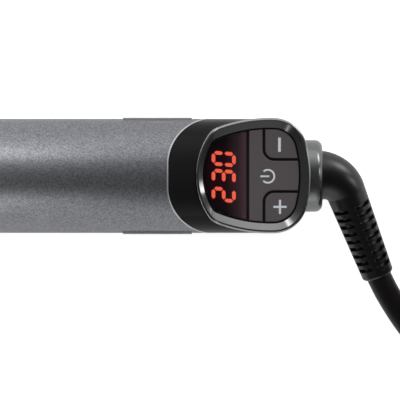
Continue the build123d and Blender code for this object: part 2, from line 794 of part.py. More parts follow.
def cord_tube(points, name):
    """A tube of the cord's section along straight runs joined by arcs."""
    radii = route_radii(points)
    with BuildPart() as tube:
        with BuildLine() as path:
            FilletPolyline(*points, radius=radii)
        with BuildSketch(Plane(origin=points[0], z_dir=points[1] - points[0])):
            Circle(cord_r)
        sweep()
    length = path.wires()[0].length
    expected = length * pi * cord_r**2
    print(name, "radii", [round(r) for r in radii], "length", round(length, 1), "volume ratio",
          round(tube.part.volume / expected, 4))
    return tube


cord_lead = cord_tube(lead_points, "cord_lead")
cord_lead.part.label = "cord_lead"
cord_tail = cord_tube(tail_points, "cord_tail")
cord_tail.part.label = "cord_tail"

hank_middle_x = hank_left.X + hank_span / 2
tie_width = 12.0
tie_thickness = 1.2
with BuildPart() as cord_hank:
    with BuildSketch() as hank_plan:
        with Locations((hank_left.X, hank_left.Y), (hank_left.X + hank_span, hank_left.Y)):
            Circle(loop_r + band)
        with Locations((hank_middle_x, hank_left.Y)):
            Rectangle(hank_span, 2 * (first_offset + band))
        notches = hank_plan.vertices().filter_by(lambda v: abs(v.X - hank_middle_x) < hank_span / 2)
        fillet(notches, waist_gap_r - band)
        with Locations((hank_left.X, hank_left.Y), (hank_left.X + hank_span, hank_left.Y)):
            Circle(loop_r - cord_r - 0.1, mode=Mode.SUBTRACT)
    extrude(amount=hank_height)
    block(hank_middle_x - tie_width / 2 - 0.5, hank_middle_x + tie_width / 2 + 0.5, -far + hank_left.Y,
          far + hank_left.Y, -1, tie_thickness + 0.1, Mode.SUBTRACT)
cord_hank.part.label = "cord_hank"

with BuildPart() as cord_tie:
    tie_inner_width = 2 * (first_offset + band + 0.1)
    tie_inner_top = hank_height + 0.1
    tie_outer_top = tie_inner_top + tie_thickness
    with BuildSketch(Plane(origin=(hank_middle_x, hank_left.Y, 0), x_dir=(0, 1, 0), z_dir=(1, 0, 0))):
        with Locations((0, tie_outer_top / 2)):
            RectangleRounded(tie_inner_width + 2 * tie_thickness, tie_outer_top, 1.4)
        with Locations((0, (tie_thickness + tie_inner_top) / 2)):
            RectangleRounded(tie_inner_width, tie_inner_top - tie_thickness, 0.3, mode=Mode.SUBTRACT)
    extrude(amount=tie_width / 2, both=True)
cord_tie.part.label = "cord_tie"

# ---------------------------------------------------------------- plug, lying on the hank, pins to the iron
plug_entry = tail_points[-1]
plug_relief = 16.0
plug_length = 26.0
plug_width = 34.0
plug_height = 13.6
pin_length = 19.0
pin_r = 2.0
pin_neck_r = 1.35
pin_sleeve_r = 1.8
pin_cover = 10.0
pin_pitch = 18.6
plug_back = plug_entry.X - plug_relief
plug_face = plug_back - plug_length
with BuildPart() as plug_body:
    with BuildSketch(Plane(origin=(0, plug_entry.Y, plug_entry.Z - plug_height / 2))) as plug_shape:
        with BuildLine():
            Polyline((plug_face, -pin_pitch / 2 - 5), (plug_face, pin_pitch / 2 + 5),
                     (plug_face + 8, plug_width / 2), (plug_back - 6, 9.5), (plug_back, 7.0),
                     (plug_back, -7.0), (plug_back - 6, -9.5), (plug_face + 8, -plug_width / 2), close=True)
        make_face()
        fillet(plug_shape.vertices().filter_by(lambda v: plug_face + 1 < v.X < plug_back - 1), 5.0)
    extrude(amount=plug_height)
    fillet(plug_body.edges().group_by(Axis.Z)[-1], 2.4)
    fillet(plug_body.edges().group_by(Axis.Z)[0], 2.4)
    for x, r in ((plug_back - 1, 5.6), (plug_entry.X, cord_r + 0.9)):
        with BuildSketch(Plane(origin=(x, plug_entry.Y, plug_entry.Z), x_dir=(0, 1, 0), z_dir=(1, 0, 0))):
            Circle(r)
    loft()
    for side in (-1, 1):
        rod(plug_face - 1, plug_face + 5, pin_neck_r + fixed_gap, y=plug_entry.Y + side * pin_pitch / 2,
            z=plug_entry.Z - axis_z, mode=Mode.SUBTRACT)
plug_body.part.label = "plug_body"

with BuildPart() as plug_pins:
    for side in (-1, 1):
        y = plug_entry.Y + side * pin_pitch / 2
        z = plug_entry.Z - axis_z
        rod(plug_face - pin_cover, plug_face + 4.5, pin_neck_r, y=y, z=z)
        rod(plug_face - pin_length, plug_face - pin_cover, pin_r, y=y, z=z)
    fillet(plug_pins.edges().filter_by(GeomType.CIRCLE).group_by(Axis.X)[0], 1.2)
plug_pins.part.label = "plug_pins"

with BuildPart() as plug_pin_sleeves:
    for side in (-1, 1):
        y = plug_entry.Y + side * pin_pitch / 2
        z = plug_entry.Z - axis_z
        rod(plug_face - pin_cover, plug_face, pin_sleeve_r, y=y, z=z)
        rod(plug_face - pin_cover - 1, plug_face + 1, pin_neck_r + fixed_gap, y=y, z=z, mode=Mode.SUBTRACT)
plug_pin_sleeves.part.label = "plug_pin_sleeves"

# ---------------------------------------------------------------- heat guard, barrel and tip
guard_bore_r = (barrel_r + handle_bore_r) / 2
ring_wall = 0.75
ring_r = guard_bore_r + ring_wall
ring_length = 8.0
guard_spigot = 10.0
barrel_inside = 14.0
with BuildPart() as heat_guard:
    turned([
        (x_guard, barrel_r + moving_gap), (x_guard, ring_r), (x_guard + ring_length, ring_r),
        (x_guard + ring_length + 1.5, handle_r - 0.6), (x_handle_front - 0.8, handle_r),
        (x_handle_front, handle_r), (x_handle_front, handle_bore_r - fixed_gap),
        (x_handle_front + guard_spigot, handle_bore_r - fixed_gap),
        (x_handle_front + guard_spigot, guard_bore_r), (x_guard + 1.6, guard_bore_r),
        (x_guard + 1.6, barrel_r + moving_gap),
    ])
heat_guard.part.label = "heat_guard"

with BuildPart() as barrel_bush:
    sleeve(x_guard + 1.7, x_handle_front + guard_spigot - 1, guard_bore_r - fixed_gap, barrel_r + fixed_gap)
barrel_bush.part.label = "barrel_bush"

barrel_bore_r = barrel_r - barrel_wall
with BuildPart() as barrel_tube:
    sleeve(x_barrel_front, x_guard + barrel_inside, barrel_r, barrel_bore_r)
barrel_tube.part.label = "barrel_tube"

tip_r = barrel_r + 0.4
with BuildPart() as cool_tip:
    with BuildSketch(long_section) as tip_profile:
        with BuildLine():
            Polyline((x_tip, 0), (x_tip, 9.0), (x_tip + 6, 11.2), (x_barrel_front - 3, tip_r),
                     (x_barrel_front, tip_r), (x_barrel_front, barrel_bore_r - fixed_gap),
                     (x_barrel_front + 9, barrel_bore_r - fixed_gap), (x_barrel_front + 9, 0), close=True)
        make_face()
        fillet(tip_profile.vertices().group_by(Axis.X)[0].sort_by(Axis.Y)[-1], 3.0)
        fillet(tip_profile.vertices().filter_by(lambda v: abs(v.X - x_tip - 6) < 0.01), 8.0)
    revolve(axis=handle_axis)
    sleeve(x_barrel_front - 12, x_barrel_front + 10, 8.5, mode=Mode.SUBTRACT)
cool_tip.part.label = "cool_tip"

heater_front = x_barrel_front + 12.0
heater_back = x_guard - 16.0
heater_half = 1.5
spreader_r = barrel_bore_r - 0.1


def heat_spreader(side):
    """One of the two half-round blocks that carry the heat from the flat heater to the barrel."""
    with BuildPart() as half:
        sleeve(heater_front, heater_back, spreader_r)
        inner = axis_z + side * (heater_half + 0.1)
        beyond = inner - side * far
        block(heater_front - 1, heater_back + 1, -far, far, min(inner, beyond), max(inner, beyond),
              Mode.SUBTRACT)
    return half


heat_spreader_upper = heat_spreader(1)
heat_spreader_upper.part.label = "heat_spreader_upper"
heat_spreader_lower = heat_spreader(-1)
heat_spreader_lower.part.label = "heat_spreader_lower"

with BuildPart() as ceramic_heater:
    block(heater_front + 4, heater_back - 2, -8, 8, axis_z - heater_half, axis_z + heater_half)
ceramic_heater.part.label = "ceramic_heater"

with BuildPart() as heater_leads:
    for y in (-lead_y, lead_y):
        rod(heater_back - 2, board_front + 8, lead_r, y=y, z=board_top - axis_z + lead_r + 0.1)
heater_leads.part.label = "heater_leads"

with BuildPart() as thermistor:
    rod(heater_back + 0.1, heater_back + 6, 1.1, z=6.0)
thermistor.part.label = "thermistor"

with BuildPart() as thermal_fuse:
    rod(heater_back + 0.1, heater_back + 10, 1.6, z=-6.0)
thermal_fuse.part.label = "thermal_fuse"

rest_low = x_guard + 0.8
rest_high = x_guard + 7.0
foot_low = foot_pad_height - axis_z
foot_half = foot_width / 2
with BuildPart() as rest_foot:
    with BuildSketch(across(rest_low)) as foot_shape:
        with BuildLine():
            Polyline((-foot_half, foot_low), (foot_half, foot_low), (foot_half, foot_low + 2.5),
                     (ring_r + 1.6, -5.0), (-ring_r - 1.6, -5.0), (-foot_half, foot_low + 2.5), close=True)
        make_face()
    extrude(amount=rest_high - rest_low)
    sleeve(rest_low - 1, rest_high + 1, ring_r + fixed_gap, mode=Mode.SUBTRACT)
rest_foot.part.label = "rest_foot"

with BuildPart() as foot_pad:
    block(rest_low, rest_high, -foot_width / 2, foot_width / 2, 0, foot_pad_height)
    fillet(foot_pad.edges().filter_by(Axis.Z), 1.5)
foot_pad.part.label = "foot_pad"

# ---------------------------------------------------------------- spring clamp
clamp_pin_x = x_guard - clamp_pin_back
clamp_pin_z = axis_z + clamp_pin_height
bracket_r = barrel_r + 0.75
ear_inner = ear_spacing / 2
ear_outer = ear_inner + ear_thickness
ear_half_length = 4.5
ear_root = axis_z + barrel_r - 1.4
ear_top = clamp_pin_z + 3.0
bracket_low = clamp_pin_x - 6.5
bracket_high = clamp_pin_x + 6.5
with BuildPart() as clamp_bracket:
    sleeve(bracket_low, bracket_high, bracket_r, barrel_r + 0.02)
    block(bracket_low - 1, bracket_high + 1, -far, far, -far, axis_z + barrel_r - 2.4, Mode.SUBTRACT)
    for side in (-1, 1):
        inner, outer = side * ear_inner, side * ear_outer
        side_plate([(clamp_pin_x - ear_half_length, ear_root), (clamp_pin_x + ear_half_length, ear_root),
                    (clamp_pin_x + 2.6, ear_top), (clamp_pin_x - 2.6, ear_top)],
                   min(inner, outer), max(inner, outer))
    sleeve(bracket_low - 1, bracket_high + 1, barrel_r + 0.02, mode=Mode.SUBTRACT)
    pin_across(clamp_pin_x, clamp_pin_z, clamp_pin_r + running_gap, -far, far, Mode.SUBTRACT)
clamp_bracket.part.label = "clamp_bracket"

with BuildPart() as clamp_pin:
    pin_across(clamp_pin_x, clamp_pin_z, clamp_pin_r, -ear_outer - 0.1, ear_outer + 0.1)
    pin_across(clamp_pin_x, clamp_pin_z, clamp_pin_r + 0.9, ear_outer + 0.1, ear_outer + 1.0)
    pin_across(clamp_pin_x, clamp_pin_z, clamp_pin_r + 0.9, -ear_outer - 1.0, -ear_outer - 0.1)
clamp_pin.part.label = "clamp_pin"

clamp_inner_r = barrel_r + clamp_gap
clamp_outer_r = clamp_inner_r + clamp_thickness
clamp_back = bracket_low - 1.0
clamp_front = clamp_back - clamp_length
neck_low = axis_z + clamp_outer_r - 0.1
neck_high = neck_low + 1.1
wing_outer = ear_inner - moving_gap
wing_inner = wing_outer - 1.2
lever_root_x = clamp_pin_x - 2.0
lever_root_z = clamp_pin_z + 2.7
lever_rise = tan(radians(lever_angle))
lever_end_x = lever_root_x + lever_length
lever_end_z = lever_root_z + lever_length * lever_rise
lever_thickness = 1.2
with BuildPart() as clamp_spoon:
    sleeve(clamp_front, clamp_back, clamp_outer_r, clamp_inner_r)
    half_chord = clamp_outer_r * sin(radians(clamp_half_angle))
    edge_z = axis_z + clamp_inner_r * cos(radians(clamp_half_angle))
    block(clamp_front - 1, clamp_back + 1, -far, far, -far, edge_z, Mode.SUBTRACT)
    with BuildSketch(Plane.XY.offset(axis_z)) as spoon_outline:
        with Locations(((clamp_front + clamp_back) / 2, 0)):
            RectangleRounded(clamp_length, 2 * half_chord + 0.4, 6.0)
    extrude(amount=2 * barrel_r, mode=Mode.INTERSECT)
    rod(clamp_front + 12, clamp_back - 4, 1.7, z=clamp_outer_r - 0.55)
    sleeve(clamp_front - 1, clamp_back + 1, clamp_inner_r, mode=Mode.SUBTRACT)
    block(clamp_back - 14, clamp_pin_x - 0.4, -wing_outer, wing_outer, neck_low, neck_high)
    for side in (-1, 1):
        inner, outer = side * wing_inner, side * wing_outer
        side_plate([(clamp_back - 6, neck_low), (clamp_pin_x - 0.4, neck_low),
                    (clamp_pin_x + 2.3, clamp_pin_z - 1.4),
                    (clamp_pin_x + 3.0, lever_root_z + 0.4 + 5.0 * lever_rise),
                    (lever_root_x, lever_root_z + 0.4), (clamp_pin_x - 4.5, clamp_pin_z + 0.6)],
                   min(inner, outer), max(inner, outer))
    side_plate([(lever_root_x, lever_root_z), (lever_end_x, lever_end_z),
                (lever_end_x, lever_end_z + lever_thickness),
                (lever_root_x, lever_root_z + lever_thickness)], -wing_outer, wing_outer)
    pin_across(clamp_pin_x, clamp_pin_z, clamp_pin_r + running_gap, -far, far, Mode.SUBTRACT)
clamp_spoon.part.label = "clamp_spoon"

paddle_start = 12.0
paddle_gap = 0.02
lever_direction = Vector(1, 0, lever_rise).normalized()
lever_face = Plane(
    origin=lever_direction * paddle_start + (lever_root_x, 0, lever_root_z + lever_thickness + paddle_gap),
    x_dir=lever_direction, z_dir=(-lever_rise, 0, 1),
)
paddle_length = lever_length / cos(radians(lever_angle)) - paddle_start + 3.0
with BuildPart() as thumb_lever:
    with BuildSketch(lever_face):
        with Locations((paddle_length / 2, 0)):
            RectangleRounded(paddle_length, paddle_width, 5.5)
    extrude(amount=2.6)
    fillet(thumb_lever.faces().sort_by(lambda f: f.center().dot(Vector(-lever_rise, 0, 1)))[-1].edges(), 1.0)
    with BuildSketch(lever_face.offset(2.6)):
        for k in range(4):
            with Locations((paddle_length - 6 - 3.2 * k, 0)):
                SlotOverall(paddle_width - 5, 1.2, rotation=90)
    extrude(amount=0.5, both=True)
thumb_lever.part.label = "thumb_lever"

with BuildPart() as lever_rivet:
    with BuildSketch(lever_face.offset(0.02)):
        with Locations((-3.0, 0)):
            Circle(1.9)
    extrude(amount=0.9)
lever_rivet.part.label = "lever_rivet"

coil_inner_r = clamp_pin_r + 0.2
wire_d = 0.9
coil_outer_r = coil_inner_r + wire_d
coil_middle = coil_inner_r + wire_d / 2
with BuildPart() as clamp_spring:
    coil_low = -wing_inner + 0.4
    coil_turns = 6
    for k in range(coil_turns):
        y = coil_low + k * wire_d
        pin_across(clamp_pin_x, clamp_pin_z, coil_outer_r, y, y + wire_d - 0.12)
    pin_across(clamp_pin_x, clamp_pin_z, coil_outer_r - 0.2, coil_low, coil_low + coil_turns * wire_d - 0.2)
    tail_x = clamp_pin_x + coil_middle
    side_plate([(tail_x - 0.4, clamp_pin_z), (tail_x + 0.4, clamp_pin_z),
                (clamp_pin_x + 6.0, axis_z + bracket_r + 0.9), (clamp_pin_x + 6.0, axis_z + bracket_r + 0.1)],
               coil_low, coil_low + wire_d)
    pin_across(clamp_pin_x, clamp_pin_z, coil_inner_r, -far, far, Mode.SUBTRACT)
clamp_spring.part.label = "clamp_spring"

with BuildPart() as clamp_spring_leg:
    leg_low = coil_low + coil_turns * wire_d + 0.15
    pin_across(clamp_pin_x, clamp_pin_z, coil_outer_r, leg_low, leg_low + wire_d)
    leg_tip_z = lever_root_z - 0.1 + 11.0 * lever_rise
    side_plate([(clamp_pin_x - 1.5, clamp_pin_z + 1.2), (clamp_pin_x + 0.5, clamp_pin_z + 1.0),
                (clamp_pin_x + 9.0, leg_tip_z - 0.8), (clamp_pin_x + 9.0, leg_tip_z)],
               leg_low, leg_low + wire_d)
    pin_across(clamp_pin_x, clamp_pin_z, coil_inner_r, -far, far, Mode.SUBTRACT)
clamp_spring_leg.part.label = "clamp_spring_leg"

# ---------------------------------------------------------------- write every piece to its own file
pieces = [
    handle_lower_shell, handle_upper_shell, control_housing, housing_trim, side_grip_pads, handle_screws,
    control_bezel, button_frame, display_lens, display_module, display_digits, display_dark_bars,
    power_button, minus_button, plus_button, power_legend, minus_legend, plus_legend,
    control_board, control_switches, board_screws, power_board, power_components, control_ribbon, mains_leads,
    cord_collar, swivel_bush, swivel_journal, slip_rings, brush_holder, contact_brushes,
    cord_boot, cord_lead, cord_hank, cord_tail, cord_tie, plug_body, plug_pins, plug_pin_sleeves,
    heat_guard, barrel_bush, barrel_tube, cool_tip, heat_spreader_upper, heat_spreader_lower, ceramic_heater,
    heater_leads, thermistor, thermal_fuse, rest_foot, foot_pad,
    clamp_bracket, clamp_pin, clamp_spoon, thumb_lever, lever_rivet, clamp_spring, clamp_spring_leg,
]
for piece in pieces:
    export_step(piece.part, f"parts/{piece.part.label}.step")
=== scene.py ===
from math import cos, pi, radians, sin

import bpy
import numpy as np
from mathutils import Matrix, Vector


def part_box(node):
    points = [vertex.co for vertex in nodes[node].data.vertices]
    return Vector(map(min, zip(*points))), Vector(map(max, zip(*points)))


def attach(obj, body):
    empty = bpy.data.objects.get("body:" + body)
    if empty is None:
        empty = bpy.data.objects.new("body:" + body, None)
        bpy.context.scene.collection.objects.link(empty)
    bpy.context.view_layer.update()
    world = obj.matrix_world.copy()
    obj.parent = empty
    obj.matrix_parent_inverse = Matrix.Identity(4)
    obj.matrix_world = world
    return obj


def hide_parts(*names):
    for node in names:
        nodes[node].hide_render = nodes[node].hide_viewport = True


# A curling iron lying on a white table with its control panel up, its cord tied in a hank.
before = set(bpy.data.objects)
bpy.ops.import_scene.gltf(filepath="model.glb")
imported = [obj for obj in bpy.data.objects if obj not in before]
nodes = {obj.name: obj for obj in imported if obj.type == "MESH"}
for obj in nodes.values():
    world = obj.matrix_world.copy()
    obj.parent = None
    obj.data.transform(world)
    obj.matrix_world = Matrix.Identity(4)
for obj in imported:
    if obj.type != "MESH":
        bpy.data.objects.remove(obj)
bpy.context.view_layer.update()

# ---------------------------------------------------------------- camera
# The camera stands high over the control pod and looks straight down at the panel, so the handle
# runs in from one side and the cord leaves towards the lower corner.
view_width = 0.1191
view_x, view_y = 0.1255, -0.0072
handle_axis_z = 0.017
camera_height = 2.0
lens_camera = bpy.data.cameras.new("camera")
lens_camera.sensor_width = 36
lens_camera.lens = lens_camera.sensor_width * camera_height / view_width
lens_camera.clip_end = 20
camera = bpy.data.objects.new("camera", lens_camera)
camera.location = (view_x, view_y, handle_axis_z + camera_height)
bpy.context.scene.collection.objects.link(camera)
bpy.context.scene.camera = camera
bpy.context.scene.view_settings.view_transform = "Standard"

# ---------------------------------------------------------------- table and light
# A plain white table under one broad lamp. The room is pale low down and dark overhead, and small
# soft lamps stand beside the grip and the cord, so the grip has a dark middle and bright edges.
table_half = 3.0
table_seen, table_mirrored = 0.8, 0.12


def principled(name, color=(0.5, 0.5, 0.5), roughness=0.5, **values):
    """A new material with one Principled shader; values are set on the shader's own sockets."""
    material = bpy.data.materials.new(name)
    material.use_nodes = True
    shader = material.node_tree.nodes["Principled BSDF"]
    shader.inputs["Base Color"].default_value = (*color, 1)
    shader.inputs["Roughness"].default_value = roughness
    for socket, value in values.items():
        shader.inputs[socket.replace("_", " ")].default_value = value
    return material, shader


table_mesh = bpy.data.meshes.new("table")
table_mesh.from_pydata([(-table_half, -table_half, 0), (table_half, -table_half, 0),
                        (table_half, table_half, 0), (-table_half, table_half, 0)],
                       [], [(0, 1, 2, 3)])
table = bpy.data.objects.new("table", table_mesh)
bpy.context.scene.collection.objects.link(table)
table_white, table_shader = principled("table_white", (0.9, 0.9, 0.9), 0.9, Specular_IOR_Level=0.1)
links = table_white.node_tree.links
ray = table_white.node_tree.nodes.new("ShaderNodeLightPath")
straight, mirrored = (table_white.node_tree.nodes.new("ShaderNodeMath") for _ in range(2))
straight.operation, mirrored.operation = "MULTIPLY", "MULTIPLY_ADD"
straight.inputs[1].default_value, mirrored.inputs[1].default_value = table_seen, table_mirrored
links.new(ray.outputs["Is Camera Ray"], straight.inputs[0])
links.new(ray.outputs["Is Glossy Ray"], mirrored.inputs[0])
links.new(straight.outputs[0], mirrored.inputs[2])
table_shader.inputs["Emission Color"].default_value = (1, 1, 1, 1)
links.new(mirrored.outputs[0], table_shader.inputs["Emission Strength"])
table.data.materials.append(table_white)

room = bpy.data.worlds.new("room")
room.use_nodes = True
bpy.context.scene.world = room
room_nodes, room_links = room.node_tree.nodes, room.node_tree.links
room_blue = 1.02
end_wall_power = 24.0
side_mix, side_middle = 1.5, 0.5


def room_math(operation, *given):
    """A math node of the room; each value given is a socket or a number."""
    node = room_nodes.new("ShaderNodeMath")
    node.operation = operation
    node.use_clamp = operation == "MULTIPLY_ADD"
    for socket, value in zip(node.inputs, given):
        if isinstance(value, float):
            socket.default_value = value
        else:
            room_links.new(value, socket)
    return node.outputs[0]


def room_ramp(*stops):
    """A ramp of grey levels over the sine of the angle from overhead."""
    node = room_nodes.new("ShaderNodeValToRGB")
    while len(node.color_ramp.elements) < len(stops):
        node.color_ramp.elements.new(0.5)
    for element, (place, level) in zip(node.color_ramp.elements, stops):
        element.position, element.color = place, (level, level, level * room_blue, 1)
    return node


direction, towards = (room_nodes.new("ShaderNode" + kind) for kind in ("TexCoord", "SeparateXYZ"))
room_links.new(direction.outputs["Generated"], towards.inputs[0])
across = towards.outputs["Y"]
along = room_math("POWER", room_math("ABSOLUTE", towards.outputs["X"]), end_wall_power)
from_top = room_math("SQRT", room_math("ADD", room_math("MULTIPLY", along, along),
                                       room_math("MULTIPLY", across, across)))
left_wall = room_ramp((0.0, 0.055), (0.35, 0.09), (0.55, 0.24), (0.75, 0.62), (0.9, 1.0),
                      (1.0, 1.0))
right_wall = room_ramp((0.0, 0.055), (0.3, 0.04), (0.6, 0.04), (0.79, 0.14), (0.93, 0.60),
                       (1.0, 1.0))
walls = room_nodes.new("ShaderNodeMix")
walls.data_type = "RGBA"
room_links.new(room_math("MULTIPLY_ADD", across, side_mix, side_middle), walls.inputs["Factor"])
for wall, socket in ((right_wall, 6), (left_wall, 7)):
    room_links.new(from_top, wall.inputs[0])
    room_links.new(wall.outputs[0], walls.inputs[socket])
room_links.new(walls.outputs[2], room_nodes["Background"].inputs["Color"])
room_nodes["Background"].inputs["Strength"].default_value = 1.0


def soft_lamp(name, place, look_at, size, power, spread=pi):
    """A rectangular area lamp at place that faces look_at; its light fans out over spread."""
    lamp = bpy.data.lights.new(name, "AREA")
    lamp.shape = "RECTANGLE"
    lamp.size, lamp.size_y = size
    lamp.energy = power
    lamp.spread = spread
    stand = bpy.data.objects.new(name, lamp)
    bpy.context.scene.collection.objects.link(stand)
    stand.location = place
    aim = np.array(look_at) - np.array(place)
    from_z = np.arccos(-aim[2] / np.linalg.norm(aim))
    stand.rotation_euler = (from_z, 0, np.arctan2(-aim[0], aim[1]))
    return stand


grip_middle, pod_middle = (-0.02, 0, 0.03), (0.13, 0, 0.03)
soft_lamp("lamp_near_left", place=(-0.02, 0.17, 0.20), look_at=grip_middle, size=(0.16, 0.10),
          power=0.032, spread=radians(60))
soft_lamp("lamp_near_right", place=(-0.02, -0.18, 0.17), look_at=grip_middle, size=(0.16, 0.10),
          power=0.021, spread=radians(60))
soft_lamp("lamp_cord_side", place=(0.27, 0.09, 0.05), look_at=(0.166, -0.018, 0.02),
          size=(0.12, 0.06), power=0.004, spread=radians(36))
soft_lamp("lamp_boot", place=(0.30, 0.01, 0.06), look_at=(0.178, -0.036, 0.012),
          size=(0.06, 0.06), power=0.0022, spread=radians(34))
overhead = soft_lamp("lamp_overhead", place=(0.1, 0.25, 1.2), look_at=pod_middle, size=(0.8, 0.8),
                     power=7.0)
overhead.visible_glossy = False

# ---------------------------------------------------------------- cord
# A two-core mains cord in satin black sheathing. It leaves the boot, sweeps to the table and is put
# away as a pinched hank of neat turns; its free end crosses back over the near loop to the plug.
mm = 0.001
cord_d = 7.4
loop_r = 22.2
turn_step = 7.6
waist_offset = 3.95
waist_hollow_r = 30.0
near_middle = np.array((240.0, -33.7))
hollow_dx, hollow_dy = 39.65, 33.95
waist_length = 12.0
far_middle = near_middle + (2 * hollow_dx + waist_length, 0)
layer_step = 7.5
first_layer = 3.75
turns = 5.5
turn_points = 28
steps_aside, steps_up = (0.89, 2.67, 4.45), (1.78, 3.56, 5.33)
step_over = 0.11
last_step_up = 1.03
tie_reach, tie_lift, tie_lift_drop = 9.0, 1.35, 0.42
lead_inside = 1.5

# the cord starts at the end of the boot's line, an elbow off the handle's axis
boot_turn, boot_droop, boot_bend_r, boot_straight = radians(69), radians(14), 8.2, 27.1
boot_root_x, boot_stub, axis_z = 157.9, 3.5, 17.0


def boot_line(distance):
    """Points on the boot's middle line: a stub on the axis, an arc aside, then a straight run."""
    arc = boot_bend_r * boot_turn
    angle = np.clip((distance - boot_stub) / boot_bend_r, 0, boot_turn)
    past = np.clip(distance - boot_stub - arc, 0, None)
    aside = boot_bend_r * (1 - np.cos(angle)) + past * sin(boot_turn)
    ahead = (boot_root_x + np.clip(distance, 0, boot_stub) + boot_bend_r * np.sin(angle)
             + past * cos(boot_turn))
    place = np.stack([ahead, -aside * cos(boot_droop), axis_z - aside * sin(boot_droop)], -1)
    heading = np.stack([np.cos(angle), -np.sin(angle) * cos(boot_droop),
                        -np.sin(angle) * sin(boot_droop)], -1)
    return place, heading, angle


boot_length = boot_stub + boot_bend_r * boot_turn + boot_straight
boot_end, boot_heading, _ = boot_line(np.array([boot_length]))
boot_end, boot_heading = boot_end[0], boot_heading[0]


def pinched_loop(t, column):
    """Points round one pinched turn, t from 0 to 1; column 0 is the inner turn, 1 the outer.

    Each loop is an arc about its middle, each side of the waist is a hollow arc, and a straight
    joins them. t shares out the length of a turn midway between the two columns.
    """
    r = loop_r + turn_step * column
    offset = waist_offset + turn_step * column
    hollow = waist_hollow_r - turn_step * column
    lean = np.arctan2(hollow_dy, hollow_dx)
    quarter = pi / 2 - lean
    mean_r, mean_hollow = loop_r + turn_step / 2, waist_hollow_r - turn_step / 2
    waist_side = [mean_hollow * quarter, waist_length, mean_hollow * quarter]
    lengths = np.array([mean_r * quarter, *waist_side, mean_r * (2 * pi - 2 * lean),
                        *waist_side, mean_r * (3 * pi / 2 - lean)])
    ends = np.cumsum(lengths) / lengths.sum()
    starts = ends - lengths / lengths.sum()
    share = [np.clip((t - a) / (b - a), 0, 1) for a, b in zip(starts, ends)]
    left, right = near_middle[0] + hollow_dx, far_middle[0] - hollow_dx
    low, high = near_middle[1] - hollow_dy, near_middle[1] + hollow_dy

    def arc(x, y, radius, start, turn, k):
        """Points of an arc about x, y."""
        angle = start + turn * share[k]
        return np.stack([x + radius * np.cos(angle), y + radius * np.sin(angle)], -1)

    def run(x0, x1, y, k):
        """Points of a straight run along X."""
        return np.stack([x0 + (x1 - x0) * share[k], y], -1)

    sides = [
        arc(near_middle[0], near_middle[1], r, -pi / 2, quarter, 0),
        arc(left, low, hollow, pi - lean, -quarter, 1),
        run(left, right, near_middle[1] - offset, 2),
        arc(right, low, hollow, pi / 2, -quarter, 3),
        arc(far_middle[0], far_middle[1], r, -pi + lean, 2 * pi - 2 * lean, 4),
        arc(right, high, hollow, -lean, -quarter, 5),
        run(right, left, near_middle[1] + offset, 6),
        arc(left, high, hollow, -pi / 2, -quarter, 7),
        arc(near_middle[0], near_middle[1], r, lean, 3 * pi / 2 - lean, 8),
    ]
    return np.select([(t <= b)[:, None] for b in ends], sides, sides[-1])


def eased(u, start):
    """0 before start, 1 from one step_over later, smooth between."""
    k = np.clip((u - start) / step_over, 0, 1)
    return k * k * (3 - 2 * k)


u = np.arange(0, turns, 1 / turn_points) + 0.5 / turn_points
inwards, outwards, inwards_again = (eased(u, start) for start in steps_aside)
column = 1 - inwards + outwards - inwards_again
second, third, top = (eased(u, start) for start in steps_up)
layer = second + third + top * last_step_up
loop_xy = pinched_loop(u % 1, column)
waist_x = (near_middle[0] + far_middle[0]) / 2
over_tie = np.exp(-((loop_xy[:, 0] - waist_x) / tie_reach) ** 4)
lift = over_tie * (tie_lift - tie_lift_drop * layer)
hank_line = np.column_stack([loop_xy, first_layer + layer_step * layer + lift])
lead_line = np.array([boot_end - boot_heading * lead_inside, boot_end, (182.3, -36.6, 7.9),
                      (190.1, -48.2, 5.6), (202.3, -57.7, 4.3), (220.5, -63.3, 3.8),
                      (234.0, -63.6, 3.75)])
tail_line = np.array([(327.4, -11.8, 26.5), (312.0, -14.2, 26.6), (298.5, -21.2, 27.9),
                      (285.5, -28.4, 29.2), (272.0, -31.7, 29.6), (260.0, -31.7, 29.6)])
cord_line = np.concatenate([lead_line, hank_line, tail_line]) * mm

cord_curve = bpy.data.curves.new("cord", "CURVE")
cord_curve.dimensions = "3D"
cord_spline = cord_curve.splines.new("NURBS")
cord_spline.points.add(len(cord_line) - 1)
cord_spline.points.foreach_set("co", np.column_stack([cord_line, np.ones(len(cord_line))]).ravel())
cord_spline.order_u = 3
cord_spline.use_endpoint_u = True
cord_spline.resolution_u = 5
cord_curve.bevel_depth = cord_d / 2 * mm
cord_curve.bevel_resolution = 6
cord_curve.use_fill_caps = True
cord = bpy.data.objects.new("cord", cord_curve)
bpy.context.scene.collection.objects.link(cord)


